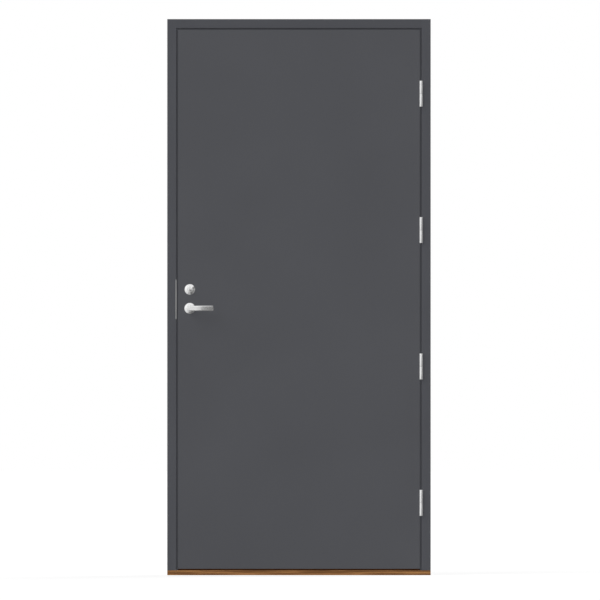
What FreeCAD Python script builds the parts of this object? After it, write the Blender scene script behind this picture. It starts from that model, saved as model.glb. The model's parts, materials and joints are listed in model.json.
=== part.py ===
import FreeCAD, Part

import math
import os

# A flush outward-opening storage door in its wooden frame, 990 mm wide and 2090 mm tall outside.
# The insulated leaf hangs on four lift-off hinges at the right and closes against a seal in the
# frame's rebate. An oak threshold carries the jambs. A mortised lock case takes a key cylinder
# with a tapered ring outside, a turn knob inside, and a lever handle on each side.
# Millimetres. +Z is up, -Y is the outside and +X is the hinge side, seen from outside. The origin
# is the centre of the threshold's underside.

vector = FreeCAD.Vector

# Frame
frame_width = 990.0
frame_height = 2090.0
frame_depth = 105.0
jamb_face = 34.5
stop_lap = 15.5
frame_arris = 2.0
stop_arris = 4.0
fine_arris = 1.0

# Threshold
threshold_height = 18.5
threshold_arris = 2.5
threshold_bevel_run = 14.0
threshold_bevel_drop = 8.0

# Leaf
leaf_thickness = 50.0
edge_gap = 5.5
foot_gap = 5.0
seal_space = 5.0
skin_thickness = 3.0
stile_width = 90.0
rail_width = 90.0
leaf_arris = 1.5

# Seal in the rebate
seal_width = 9.0
seal_wall = 1.4
seal_inset = 5.5
threshold_seal_inset = 10.5
seal_clearance = 0.3
seal_rounding = 1.8
kerf_width = 3.2
kerf_depth = 7.0
kerf_play = 0.1

# Hinges
hinge_count = 4
lowest_hinge_height = 272.0
top_hinge_drop = 280.5
hinge_length = 98.0
hinge_plate_depth = 30.0
hinge_plate_thickness = 2.5
hinge_plate_corner = 8.0
hinge_offset_across = 1.25
knuckle_radius = 6.5
knuckle_stand_off = 1.0
knuckle_end_wall = 4.0
knuckle_end_bevel = 1.5
pin_radius = 4.0
pin_running_play = 0.06
pin_seat_play = 0.02
pin_end_play = 0.5
collar_thickness = 2.0
collar_play = 0.05
collar_step = 0.3

# Frame fixings
fixing_radius = 7.0
fixing_setback = 30.0
lowest_fixing_height = 150.0
top_fixing_drop = 160.0
next_fixing_distance = 490.0

# Lock
handle_height = 1003.0
cylinder_rise = 71.0
lock_centre_rise = 34.0
backset = 45.0
faceplate_length = 235.0
faceplate_width = 24.0
faceplate_thickness = 3.0
faceplate_corner = 6.0
case_depth = 72.0
case_height = 165.0
case_thickness = 16.0
bolt_thickness = 14.0
bolt_tail = 28.0
bolt_play = 0.25
bolt_sunk = 0.5
latch_height = 20.0
latch_bevel = 9.0
latch_land = 3.5
dead_bolt_height = 34.0
dead_bolt_rounding = 1.5

# Strike
strike_length = 148.0
strike_width = 38.0
strike_thickness = 3.0
strike_corner = 6.0
strike_window_width = 18.0
strike_window_margin = 4.0
strike_pocket_depth = 15.0

# Lever handles
rose_radius = 20.5
rose_height = 8.0
rose_bevel_run = 8.0
rose_bevel_drop = 4.5
neck_radius = 8.0
neck_play = 0.3
neck_start = 1.5
lever_reach = 88.7
lever_projection = 62.0
lever_straight = 26.0
lever_bend_run = 20.0
lever_bend_angle = 16.0
lever_tip_angle = 23.0
lever_thickness = 11.0
lever_tip_thickness = 8.5
lever_height = 20.0
lever_tip_rounding = 4.0
steepest_facing = 35.0
lever_front_bevel = 2.0
lever_back_bevel = 1.2
spindle_width = 8.0
spindle_grip = 20.0
spindle_play = 0.05
hub_radius = 7.5
hub_play = 0.1
hub_recess = 1.0
passage_radius = 10.0

# Key cylinder and its ring
ring_radius = 20.0
ring_front_radius = 11.0
ring_height = 10.0
ring_lip = 1.5
cylinder_radius = 9.5
cylinder_play = 0.1
cylinder_proud = 1.0
cylinder_bevel = 0.7
cylinder_passage_play = 1.0
plug_radius = 6.5
plug_play = 0.05
plug_sunk = 0.4
keyway_width = 2.2
keyway_height = 8.4
keyway_drop = 0.8
keyway_depth = 22.0
tail_width = 7.0
tail_thickness = 2.5
tail_reach = 5.0
tail_passage_radius = 8.0

# Turn knob inside
knob_stem_radius = 5.0
knob_stem_play = 0.2
knob_length = 34.0
knob_thickness = 12.0
knob_height = 17.0
knob_collar_radius = 11.0
knob_collar_height = 3.0
knob_gap = 0.3
knob_bevel = 2.0

# Places that follow from the sizes
half_width = frame_width / 2
front_y = -frame_depth / 2
back_y = frame_depth / 2
jamb_inner = half_width - jamb_face
stop_edge = jamb_inner - stop_lap
head_under = frame_height - jamb_face
head_stop = head_under - stop_lap
threshold_top = threshold_height + stop_lap
leaf_side = jamb_inner - edge_gap
leaf_bottom = threshold_height + foot_gap
leaf_top = head_under - edge_gap
leaf_back = front_y + leaf_thickness
stop_y = leaf_back + seal_space
leaf_middle = (front_y + leaf_back) / 2
hinge_x = (jamb_inner + leaf_side) / 2 + hinge_offset_across
hinge_y = front_y - knuckle_stand_off - knuckle_radius
hinge_pitch = (frame_height - top_hinge_drop - lowest_hinge_height) / (hinge_count - 1)
hinge_heights = [lowest_hinge_height + n * hinge_pitch for n in range(hinge_count)]
swing_reach = hinge_x + leaf_side
edge_bevel = swing_reach - math.sqrt(swing_reach**2 - (leaf_back - hinge_y) ** 2)
lock_x = -leaf_side + backset
cylinder_height = handle_height + cylinder_rise
lock_centre = handle_height + lock_centre_rise
bend_angle = math.radians(lever_bend_angle)
tip_angle = math.radians(lever_tip_angle)
grip_run = lever_reach - lever_straight - lever_bend_run
case_front = leaf_middle - case_thickness / 2
case_back = leaf_middle + case_thickness / 2
case_start = -leaf_side + faceplate_thickness
bolt_tip = -leaf_side + edge_bevel + bolt_sunk


def on_plan(z):
    """Places an outline's (x, y) points at height z."""
    return lambda a, b: vector(a, b, z)


def on_elevation(y):
    """Places an outline's (x, z) points at depth y."""
    return lambda a, b: vector(a, y, b)


def on_section(x):
    """Places an outline's (y, z) points at x."""
    return lambda a, b: vector(x, a, b)


def rounded_corner(before, here, after, radius):
    """The start, middle and end of the arc that rounds a corner."""
    into = (before - here).normalize()
    out = (after - here).normalize()
    half = into.getAngle(out) / 2
    reach = radius / math.tan(half)
    bisector = (into + out).normalize()
    middle = here + bisector * (radius / math.sin(half) - radius)
    return here + into * reach, middle, here + out * reach


def outline(corners, place):
    """A closed face from (a, b, radius) corners, each rounded by its own arc."""
    flat = [vector(a, b, 0) for a, b, radius in corners]
    count = len(corners)
    arcs = []
    for n, (a, b, radius) in enumerate(corners):
        if radius > 0:
            arcs.append(rounded_corner(flat[n - 1], flat[n], flat[(n + 1) % count], radius))
        else:
            arcs.append((flat[n], flat[n], flat[n]))
    edges = []
    for n in range(count):
        start, middle, end = [place(p.x, p.y) for p in arcs[n]]
        if (end - start).Length > 1e-6:
            edges.append(Part.Arc(start, middle, end).toShape())
        following = place(arcs[(n + 1) % count][0].x, arcs[(n + 1) % count][0].y)
        if (following - end).Length > 1e-6:
            edges.append(Part.LineSegment(end, following).toShape())
    return Part.Face(Part.Wire(edges))


def box(x0, x1, y0, y1, z0, z1):
    return Part.makeBox(x1 - x0, y1 - y0, z1 - z0, vector(x0, y0, z0))


def rod(radius, start, end):
    """A round bar between two points."""
    along = end - start
    return Part.makeCylinder(radius, along.Length, start, along)


def mirrored(shape):
    """The same piece on the other side of the door."""
    return shape.mirror(vector(0, 0, 0), vector(1, 0, 0))


def turned(corners):
    """A solid of revolution about +Z from a closed (radius, height) outline."""
    return outline(corners, on_elevation(0)).revolve(vector(0, 0, 0), vector(0, 0, 1), 360)


def seated(shape, seat):
    """The piece moved and turned from where it was made to its seat."""
    piece = shape.copy()
    piece.Placement = seat.multiply(shape.Placement)
    return piece


def outside(shape, height):
    """Seats a piece made with +Z outwards and +X along the lever on the leaf's outer face."""
    seat = FreeCAD.Placement(vector(lock_x, front_y, height), FreeCAD.Rotation(vector(1, 0, 0), 90))
    return seated(shape, seat)


def inside(shape, height):
    """Seats the same piece on the leaf's inner face."""
    seat = FreeCAD.Placement(vector(lock_x, leaf_back, height), FreeCAD.Rotation(vector(1, 0, 0), -90))
    return seated(shape, seat)


# Frame

seal_x = stop_edge + seal_inset
seal_top = head_stop + seal_inset
seal_bottom = threshold_top - threshold_seal_inset


def kerf_ring():
    """The groove round the stop that the seals' stems are pushed into."""
    half = kerf_width / 2
    depths = (stop_y, stop_y + kerf_depth)
    outer = box(-seal_x - half, seal_x + half, *depths, seal_bottom - half, seal_top + half)
    inner = box(-seal_x + half, seal_x - half, *depths, seal_bottom + half, seal_top - half)
    return outer.cut(inner)


def jamb_length(inner_arris, low, high):
    """A length of the right jamb, rebated for the leaf."""
    corners = [
        (half_width, front_y, frame_arris),
        (half_width, back_y, frame_arris),
        (stop_edge, back_y, stop_arris),
        (stop_edge, stop_y, fine_arris),
        (jamb_inner, stop_y, 0),
        (jamb_inner, front_y, inner_arris),
    ]
    return outline(corners, on_plan(low)).extrude(vector(0, 0, high - low))


def jamb():
    """The right jamb. Its front arris is rounded up to the head, where the joint is flush."""
    lower = jamb_length(frame_arris, threshold_height, head_under)
    upper = jamb_length(0, head_under, frame_height)
    blank = lower.fuse(upper).removeSplitter()
    depth = front_y + fixing_setback
    highest = frame_height - top_fixing_drop
    ends = [lowest_fixing_height, highest]
    middles = [lowest_fixing_height + next_fixing_distance, highest - next_fixing_distance]
    for height in ends + middles:
        hole = rod(fixing_radius, vector(jamb_inner, depth, height), vector(half_width, depth, height))
        blank = blank.cut(hole)
    return blank


def head():
    """The frame's top member, butted between the jambs."""
    corners = [
        (front_y, frame_height, frame_arris),
        (back_y, frame_height, frame_arris),
        (back_y, head_stop, stop_arris),
        (stop_y, head_stop, fine_arris),
        (stop_y, head_under, 0),
        (front_y, head_under, frame_arris),
    ]
    bar = outline(corners, on_section(-jamb_inner)).extrude(vector(2 * jamb_inner, 0, 0))
    shoulder = box(stop_edge, half_width, stop_y, back_y, head_stop, frame_height)
    return bar.cut(shoulder).cut(mirrored(shoulder)).cut(kerf_ring())


def threshold():
    """The oak sill: a flat board under the jambs, with a raised stop between them."""
    corners = [
        (front_y, 0, fine_arris),
        (back_y, 0, fine_arris),
        (back_y, threshold_top - threshold_bevel_drop, fine_arris),
        (back_y - threshold_bevel_run, threshold_top, stop_arris),
        (stop_y, threshold_top, fine_arris),
        (stop_y, threshold_height, 0),
        (front_y, threshold_height, threshold_arris),
    ]
    bar = outline(corners, on_section(-half_width)).extrude(vector(frame_width, 0, 0))
    seat = box(stop_edge, half_width, stop_y, back_y, threshold_height, threshold_top)
    return bar.cut(seat).cut(mirrored(seat)).cut(kerf_ring())


def seal(start, end, outwards):
    """One mitred side of the hollow seal, from start to end in the stop's plane."""
    along = (end - start).normalize()
    half = seal_width / 2
    rise = seal_space - seal_clearance
    stem = kerf_width / 2 - kerf_play
    reach = 2 * seal_width

    def place(across, proud):
        return start - along * reach + outwards * across + vector(0, stop_y - proud, 0)

    bulb = outline(
        [
            (-half, 0, 0),
            (-half, rise, seal_rounding),
            (half, rise, seal_rounding),
            (half, 0, 0),
            (stem, 0, 0),
            (stem, kerf_play - kerf_depth, 0),
            (-stem, kerf_play - kerf_depth, 0),
            (-stem, 0, 0),
        ],
        place,
    )
    hollow = outline(
        [
            (-half + seal_wall, seal_wall, 0),
            (-half + seal_wall, rise - seal_wall, 0),
            (half - seal_wall, rise - seal_wall, 0),
            (half - seal_wall, seal_wall, 0),
        ],
        place,
    )
    travel = end - start + along * 2 * reach
    bar = bulb.extrude(travel).cut(hollow.extrude(travel))
    inner_start = start + along * half - outwards * half
    inner_end = end - along * half - outwards * half
    outer_end = end + along * half + outwards * half
    outer_start = start - along * half + outwards * half
    corners = [inner_start, inner_end, outer_end, outer_start]
    mitres = outline([(p.x, p.z, 0) for p in corners], on_elevation(stop_y - seal_space))
    return bar.common(mitres.extrude(vector(0, seal_space + kerf_depth, 0)))


def strike_plate():
    """The flat strike, let in flush with the rebate, with a window for each bolt."""
    half = strike_length / 2
    corners = [
        (front_y, lock_centre - half, 0),
        (front_y + strike_width, lock_centre - half, strike_corner),
        (front_y + strike_width, lock_centre + half, strike_corner),
        (front_y, lock_centre + half, 0),
    ]
    return outline(corners, on_section(-jamb_inner)).extrude(vector(-strike_thickness, 0, 0))


def bolt_window(height, bolt_height, depth):
    """The space that a bolt is thrown into, from the rebate's face."""
    half_width_y = strike_window_width / 2
    half_z = bolt_height / 2 + strike_window_margin
    return box(
        -jamb_inner - depth,
        -jamb_inner,
        leaf_middle - half_width_y,
        leaf_middle + half_width_y,
        height - half_z,
        height + half_z,
    )


def bolt_windows(depth):
    latch = bolt_window(handle_height, latch_height, depth)
    dead_bolt = bolt_window(cylinder_height, dead_bolt_height, depth)
    return latch.fuse(dead_bolt)


# Hinges


def hinge_plate(face_x, thickness, height):
    """A hinge's flat plate, from the face that shows in the gap, with its inner corners rounded."""
    half = hinge_length / 2
    corners = [
        (front_y, height - half, 0),
        (front_y + hinge_plate_depth, height - half, hinge_plate_corner),
        (front_y + hinge_plate_depth, height + half, hinge_plate_corner),
        (front_y, height + half, 0),
    ]
    return outline(corners, on_section(face_x)).extrude(vector(thickness, 0, 0))


def knuckle(closed_end, open_end):
    """A barrel about the hinge line, bevelled where it is closed. Both ends are heights."""
    length = abs(open_end - closed_end)
    barrel = turned(
        [
            (0, 0, 0),
            (knuckle_radius - knuckle_end_bevel, 0, 0),
            (knuckle_radius, knuckle_end_bevel, 0),
            (knuckle_radius, length, 0),
            (0, length, 0),
        ]
    )
    if open_end < closed_end:
        barrel = barrel.mirror(vector(0, 0, 0), vector(0, 0, 1))
    barrel.translate(vector(hinge_x, hinge_y, closed_end))
    return barrel


def hinge_half(face_x, thickness, height, closed_end, open_end, play):
    """One half of a lift-off hinge: plate, neck and bored knuckle."""
    neck_x = sorted((face_x, face_x + thickness))
    neck_end = closed_end + math.copysign(knuckle_end_bevel, open_end - closed_end)
    neck_z = sorted((neck_end, open_end))
    neck = box(neck_x[0], neck_x[1], hinge_y, front_y, neck_z[0], neck_z[1])
    plate = hinge_plate(face_x, thickness, height)
    whole = knuckle(closed_end, open_end).fuse(neck).fuse(plate)
    bore_end = closed_end + math.copysign(knuckle_end_wall, open_end - closed_end)
    bore = rod(
        pin_radius + play,
        vector(hinge_x, hinge_y, bore_end),
        vector(hinge_x, hinge_y, open_end),
    )
    return whole.cut(bore).removeSplitter()


def frame_hinge_half(height):
    """The lower knuckle and the plate on the jamb."""
    low = height - hinge_length / 2
    seat = height - collar_thickness / 2
    return hinge_half(jamb_inner, hinge_plate_thickness, height, low, seat, pin_seat_play)


def leaf_hinge_half(height):
    """The upper knuckle and the plate on the leaf's edge."""
    high = height + hinge_length / 2
    seat = height + collar_thickness / 2
    return hinge_half(leaf_side, -hinge_plate_thickness, height, high, seat, pin_running_play)


def hinge_pin(height):
    """The pin, with the collar that the leaf's knuckle turns on."""
    half = hinge_length / 2 - knuckle_end_wall - pin_end_play
    half_collar = collar_thickness / 2 - collar_play
    centre = vector(hinge_x, hinge_y, height)
    pin = rod(pin_radius, centre - vector(0, 0, half), centre + vector(0, 0, half))
    collar = rod(
        knuckle_radius - collar_step,
        centre - vector(0, 0, half_collar),
        centre + vector(0, 0, half_collar),
    )
    return pin.fuse(collar).removeSplitter()


# Leaf


def round_front(shape, depth, radius):
    """Rounds the edges that lie in the plane y = depth."""
    edges = [e for e in shape.Edges if all(abs(v.Point.y - depth) < 1e-6 for v in e.Vertexes)]
    return shape.makeFillet(radius, edges)


def inside_lock_edge(depth):
    """All of the leaf that lies deeper than this behind its lock edge.

    The edge is bevelled, so that its inner corner swings as wide as its outer one."""
    corners = [
        (-leaf_side + depth, front_y, 0),
        (-leaf_side + edge_bevel + depth, leaf_back, 0),
        (leaf_side, leaf_back, 0),
        (leaf_side, front_y, 0),
    ]
    return outline(corners, on_plan(leaf_bottom)).extrude(vector(0, 0, leaf_top - leaf_bottom))


def outer_skin():
    """The outer face sheet, with holes for the cylinder and the lever's neck."""
    skin = box(-leaf_side, leaf_side, front_y, front_y + skin_thickness, leaf_bottom, leaf_top)
    skin = round_front(skin.common(inside_lock_edge(0)), front_y, leaf_arris)
    skin = skin.cut(passage(passage_radius, handle_height, front_y, skin_thickness))
    hole = cylinder_radius + cylinder_passage_play
    skin = skin.cut(passage(hole, cylinder_height, front_y, skin_thickness))
    return skin.cut(hinge_recesses())


def inner_skin():
    """The inner face sheet, with holes for the lever's neck and the knob's stem."""
    start = leaf_back - skin_thickness
    skin = box(-leaf_side, leaf_side, start, leaf_back, leaf_bottom, leaf_top)
    skin = round_front(skin.common(inside_lock_edge(0)), leaf_back, leaf_arris)
    skin = skin.cut(passage(passage_radius, handle_height, start, skin_thickness))
    return skin.cut(passage(knob_stem_radius + knob_stem_play, cylinder_height, start, skin_thickness))


def passage(radius, height, start, depth):
    """A round hole through the leaf at the lock's backset."""
    return rod(radius, vector(lock_x, start, height), vector(lock_x, start + depth, height))


def hinge_recesses():
    """The recesses in the leaf's edge for its four hinge plates."""
    plates = [hinge_plate(leaf_side, -hinge_plate_thickness, height) for height in hinge_heights]
    return Part.makeCompound(plates)


def stile(side):
    """A full-height edge member of the leaf, between the skins."""
    edge = side * leaf_side
    inner = side * (leaf_side - stile_width)
    low, high = sorted((edge, inner))
    return box(low, high, front_y + skin_thickness, leaf_back - skin_thickness, leaf_bottom, leaf_top)


def lock_stile():
    """The stile at the lock, mortised for the case, its faceplate and what passes through."""
    member = stile(-1).common(inside_lock_edge(0)).cut(faceplate_blank()).cut(case_blank())
    start = front_y + skin_thickness
    depth = leaf_thickness - 2 * skin_thickness
    member = member.cut(passage(passage_radius, handle_height, start, depth))
    outer = case_front - start
    member = member.cut(passage(cylinder_radius + cylinder_passage_play, cylinder_height, start, outer))
    inner = leaf_back - skin_thickness - case_back
    stem = knob_stem_radius + knob_stem_play
    return member.cut(passage(stem, cylinder_height, case_back, inner))


def rail(low):
    """A cross member of the leaf between the stiles."""
    reach = leaf_side - stile_width
    return box(-reach, reach, front_y + skin_thickness, leaf_back - skin_thickness, low, low + rail_width)


def leaf_core():
    """The insulating board that fills the leaf's frame."""
    reach = leaf_side - stile_width
    return box(
        -reach,
        reach,
        front_y + skin_thickness,
        leaf_back - skin_thickness,
        leaf_bottom + rail_width,
        leaf_top - rail_width,
    )


# Lock


def faceplate_blank():
    """The lock's plate before its windows, flush with the leaf's bevelled edge."""
    half_z = faceplate_length / 2
    half_y = faceplate_width / 2
    corners = [
        (leaf_middle - half_y, lock_centre - half_z, faceplate_corner),
        (leaf_middle + half_y, lock_centre - half_z, faceplate_corner),
        (leaf_middle + half_y, lock_centre + half_z, faceplate_corner),
        (leaf_middle - half_y, lock_centre + half_z, faceplate_corner),
    ]
    plate = outline(corners, on_section(-leaf_side)).extrude(vector(case_depth, 0, 0))
    return plate.common(inside_lock_edge(0)).cut(inside_lock_edge(faceplate_thickness))


def bolt_channel(height, bolt_height):
    """The space that a bolt slides in, from the faceplate into the case."""
    half_y = bolt_thickness / 2 + bolt_play
    half_z = bolt_height / 2 + bolt_play
    return box(
        -leaf_side,
        case_start + bolt_tail,
        leaf_middle - half_y,
        leaf_middle + half_y,
        height - half_z,
        height + half_z,
    )


def bolt_channels():
    latch = bolt_channel(handle_height, latch_height)
    return latch.fuse(bolt_channel(cylinder_height, dead_bolt_height))


def faceplate():
    """The lock's plate in the leaf's edge, with its two windows."""
    return faceplate_blank().cut(bolt_channels())


def case_blank():
    """The lock case before its openings, from the back of its plate inwards."""
    half_z = case_height / 2
    end = case_start + case_depth
    case = box(-leaf_side, end, case_front, case_back, lock_centre - half_z, lock_centre + half_z)
    return case.common(inside_lock_edge(faceplate_thickness))


def lock_case():
    """The lock case, open where the bolts, the spindle's hub and the cylinder's tail work."""
    case = case_blank().cut(bolt_channels())
    case = case.cut(passage(hub_radius + hub_play, handle_height, case_front, case_thickness))
    return case.cut(passage(tail_passage_radius, cylinder_height, case_front, case_thickness))


def latch_bolt():
    """The sprung latch, drawn back. Its bevel faces the frame as the leaf closes."""
    tail = case_start + bolt_tail
    half_y = bolt_thickness / 2
    corners = [
        (bolt_tip, leaf_middle - half_y, 0),
        (bolt_tip, leaf_middle - half_y + latch_land, 0),
        (bolt_tip + latch_bevel, leaf_middle + half_y, 0),
        (tail, leaf_middle + half_y, 0),
        (tail, leaf_middle - half_y, 0),
    ]
    return outline(corners, on_plan(handle_height - latch_height / 2)).extrude(vector(0, 0, latch_height))


def dead_bolt():
    """The square bolt that the key and the knob throw, drawn back."""
    tail = case_start + bolt_tail
    half_y = bolt_thickness / 2
    corners = [
        (bolt_tip, leaf_middle - half_y, dead_bolt_rounding),
        (bolt_tip, leaf_middle + half_y, dead_bolt_rounding),
        (tail, leaf_middle + half_y, 0),
        (tail, leaf_middle - half_y, 0),
    ]
    start = cylinder_height - dead_bolt_height / 2
    return outline(corners, on_plan(start)).extrude(vector(0, 0, dead_bolt_height))


def cylinder_ring():
    """The tapered ring round the key cylinder."""
    bore = cylinder_radius + cylinder_play
    return turned(
        [
            (bore, 0, 0),
            (ring_radius, 0, 0),
            (ring_radius, ring_lip, 0),
            (ring_front_radius, ring_height, 0),
            (bore, ring_height, 0),
        ]
    )


def cylinder_body():
    """The fixed part of the key cylinder, from the lock case to its face."""
    front = ring_height + cylinder_proud
    back = front_y - case_front
    return turned(
        [
            (plug_radius + plug_play, back, 0),
            (cylinder_radius, back, 0),
            (cylinder_radius, front - cylinder_bevel, 0),
            (cylinder_radius - cylinder_bevel, front, 0),
            (plug_radius + plug_play, front, 0),
        ]
    )


def cylinder_plug():
    """The part that the key turns, with its keyway and the tail that works the lock."""
    front = ring_height + cylinder_proud - plug_sunk
    back = front_y - case_front
    plug = rod(plug_radius, vector(0, 0, back), vector(0, 0, front))
    half_w = keyway_width / 2
    low = -keyway_height / 2 - keyway_drop
    high = keyway_height / 2 - keyway_drop
    keyway = box(-half_w, half_w, low, high, front - keyway_depth, front)
    half_tail = tail_width / 2
    tail = box(
        -half_tail, half_tail, -tail_thickness / 2, tail_thickness / 2, back - tail_reach, back
    )
    return plug.cut(keyway).fuse(tail)


def turn_knob():
    """The oval knob inside, on a stem that reaches the lock case."""
    base = rose_height + knob_gap
    reach = leaf_back - case_back
    stem = rod(knob_stem_radius, vector(0, 0, -reach), vector(0, 0, base))
    collar = rod(knob_collar_radius, vector(0, 0, base), vector(0, 0, base + knob_collar_height))
    half_x = knob_thickness / 2
    half_y = knob_length / 2
    corners = [(-half_x, -half_y), (half_x, -half_y), (half_x, half_y), (-half_x, half_y)]
    start = base + knob_collar_height
    grip = outline([(a, b, half_x) for a, b in corners], on_plan(start))
    grip = grip.extrude(vector(0, 0, knob_height - knob_collar_height))
    top = base + knob_height
    edges = [e for e in grip.Edges if all(abs(v.Point.z - top) < 1e-6 for v in e.Vertexes)]
    return grip.makeChamfer(knob_bevel, edges).fuse(collar).fuse(stem).removeSplitter()


# Lever handles


def rose(bore):
    """A round plate on the leaf's face, bevelled towards its edge."""
    return turned(
        [
            (bore, 0, 0),
            (rose_radius, 0, 0),
            (rose_radius, rose_height - rose_bevel_drop, 0),
            (rose_radius - rose_bevel_run, rose_height, 0),
            (bore, rose_height, 0),
        ]
    )


def bent_run(start, run, start_angle, end_angle):
    """An arc that leaves start falling at one angle and ends, this run further on, at another."""
    turn = end_angle - start_angle
    end = start + vector(run, 0, -run * math.tan(start_angle + turn / 2))
    heading = start_angle + turn / 4
    half_chord = (end - start).Length / 2 / math.cos(turn / 4)
    middle = start + vector(math.cos(heading), 0, -math.sin(heading)) * half_chord
    return Part.Arc(start, middle, end).toShape(), end


def lever_line(height, end_angle):
    """One face of the lever seen from above: straight over the neck, then bent towards the leaf.

    The line runs on past the lever's two ends."""
    first = vector(-lever_height, 0, height)
    bend_start = vector(lever_straight, 0, height)
    bend, bend_end = bent_run(bend_start, lever_bend_run, 0, bend_angle)
    rate = (math.sin(end_angle) - math.sin(bend_angle)) / grip_run
    last_angle = math.asin(math.sin(end_angle) + rate * lever_height)
    grip, last = bent_run(bend_end, grip_run + lever_height, bend_angle, last_angle)
    return first, [Part.LineSegment(first, bend_start).toShape(), bend, grip], last


def back_tip_angle():
    """The angle at which the lever's back must end for the tip to have its thickness."""
    front_drop = grip_run * math.tan((bend_angle + tip_angle) / 2)
    back_drop = front_drop - (lever_thickness - lever_tip_thickness)
    return 2 * math.atan(back_drop / grip_run) - bend_angle


def rim(faces):
    """The edges that surround a smooth run of faces."""
    edges = [edge for face in faces for edge in face.Edges]
    return [edge for edge in edges if sum(edge.isSame(other) for other in edges) == 1]


def facing(shape, side):
    """The faces that look up, with a side of 1, or down, with a side of -1."""
    found = []
    for face in shape.Faces:
        low_u, high_u, low_v, high_v = face.ParameterRange
        normal = face.normalAt((low_u + high_u) / 2, (low_v + high_v) / 2)
        if normal.z * side > math.cos(math.radians(steepest_facing)):
            found.append(face)
    return found


def lever():
    """A bent lever made with +X along the grip and +Z away from the leaf."""
    back = lever_projection - lever_thickness
    front_start, front_line, front_end = lever_line(lever_projection, tip_angle)
    back_start, back_line, back_end = lever_line(back, back_tip_angle())
    tip = Part.LineSegment(front_end, back_end).toShape()
    heel = Part.LineSegment(back_start, front_start).toShape()
    half = lever_height / 2
    profile = Part.Wire(Part.__sortEdges__(front_line + back_line + [tip, heel]))
    bar = Part.Face(profile).extrude(vector(0, 2 * lever_height, 0))
    bar.translate(vector(0, -lever_height, 0))
    face = outline(
        [
            (-half, -half, half),
            (lever_reach, -half, lever_tip_rounding),
            (lever_reach, half, lever_tip_rounding),
            (-half, half, half),
        ],
        on_plan(0),
    )
    bar = face.extrude(vector(0, 0, 2 * lever_projection)).common(bar)
    bar = bar.makeChamfer(lever_front_bevel, rim(facing(bar, 1)))
    bar = bar.makeChamfer(lever_back_bevel, rim(facing(bar, -1)))
    neck = rod(neck_radius, vector(0, 0, neck_start), vector(0, 0, back + lever_thickness / 2))
    half_spindle = spindle_width / 2 + spindle_play
    socket = box(
        -half_spindle, half_spindle, -half_spindle, half_spindle, neck_start, neck_start + spindle_grip
    )
    return bar.fuse(neck).cut(socket)


def lever_spindle():
    """The square bar that joins the two levers through the lock case, with its hub."""
    half = spindle_width / 2
    reach = neck_start + spindle_grip - spindle_play
    bar = box(
        lock_x - half,
        lock_x + half,
        front_y - reach,
        leaf_back + reach,
        handle_height - half,
        handle_height + half,
    )
    hub = passage(hub_radius, handle_height, case_front + hub_recess, case_thickness - 2 * hub_recess)
    return bar.fuse(hub).removeSplitter()


# Build


def build():
    """Every piece of the door by its node's name."""
    hinge_jamb = jamb().cut(kerf_ring())
    lock_jamb = mirrored(jamb()).cut(kerf_ring())
    for height in hinge_heights:
        hinge_jamb = hinge_jamb.cut(hinge_plate(jamb_inner, hinge_plate_thickness, height))
    strike = strike_plate()
    pocket_depth = strike_thickness + strike_pocket_depth
    lock_jamb = lock_jamb.cut(strike).cut(bolt_windows(pocket_depth))
    low_left = vector(-seal_x, 0, seal_bottom)
    low_right = vector(seal_x, 0, seal_bottom)
    top_left = vector(-seal_x, 0, seal_top)
    top_right = vector(seal_x, 0, seal_top)
    pieces = {
        "frame_head": head(),
        "hinge_jamb": hinge_jamb,
        "lock_jamb": lock_jamb,
        "oak_threshold": threshold(),
        "head_seal": seal(top_left, top_right, vector(0, 0, 1)),
        "hinge_jamb_seal": seal(low_right, top_right, vector(1, 0, 0)),
        "lock_jamb_seal": seal(low_left, top_left, vector(-1, 0, 0)),
        "threshold_seal": seal(low_left, low_right, vector(0, 0, -1)),
        "strike_plate": strike.cut(bolt_windows(strike_thickness)),
        "outer_face_sheet": outer_skin(),
        "inner_face_sheet": inner_skin(),
        "hinge_stile": stile(1).cut(hinge_recesses()),
        "lock_stile": lock_stile(),
        "top_rail": rail(leaf_top - rail_width),
        "bottom_rail": rail(leaf_bottom),
        "leaf_core": leaf_core(),
        "lock_case": lock_case(),
        "lock_faceplate": faceplate(),
        "latch_bolt": latch_bolt(),
        "dead_bolt": dead_bolt(),
        "outer_handle_rose": outside(rose(neck_radius + neck_play), handle_height),
        "inner_handle_rose": inside(rose(neck_radius + neck_play), handle_height),
        "cylinder_ring": outside(cylinder_ring(), cylinder_height),
        "cylinder_body": outside(cylinder_body(), cylinder_height),
        "cylinder_plug": outside(cylinder_plug(), cylinder_height),
        "turn_knob_rose": inside(rose(knob_stem_radius + knob_stem_play), cylinder_height),
        "turn_knob": inside(turn_knob(), cylinder_height),
        "outer_lever": outside(lever(), handle_height),
        "inner_lever": inside(lever(), handle_height),
        "lever_spindle": lever_spindle(),
    }
    for number, height in enumerate(hinge_heights, start=1):
        pieces[f"frame_hinge_half_{number}"] = frame_hinge_half(height)
        pieces[f"leaf_hinge_half_{number}"] = leaf_hinge_half(height)
        pieces[f"hinge_pin_{number}"] = hinge_pin(height)
    return pieces


os.makedirs("parts", exist_ok=True)
for name, shape in build().items():
    if not shape.isValid() or shape.Volume <= 0 or not shape.Solids:
        raise ValueError(f"{name} isn't a sound solid")
    shape.exportStep(f"parts/{name}.step")
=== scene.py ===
import json
import math

import bmesh
import bpy
from bpy.props import FloatProperty, FloatVectorProperty, IntProperty, PointerProperty
from bpy.types import Operator, Panel, PropertyGroup
from mathutils import Matrix, Vector


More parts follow.
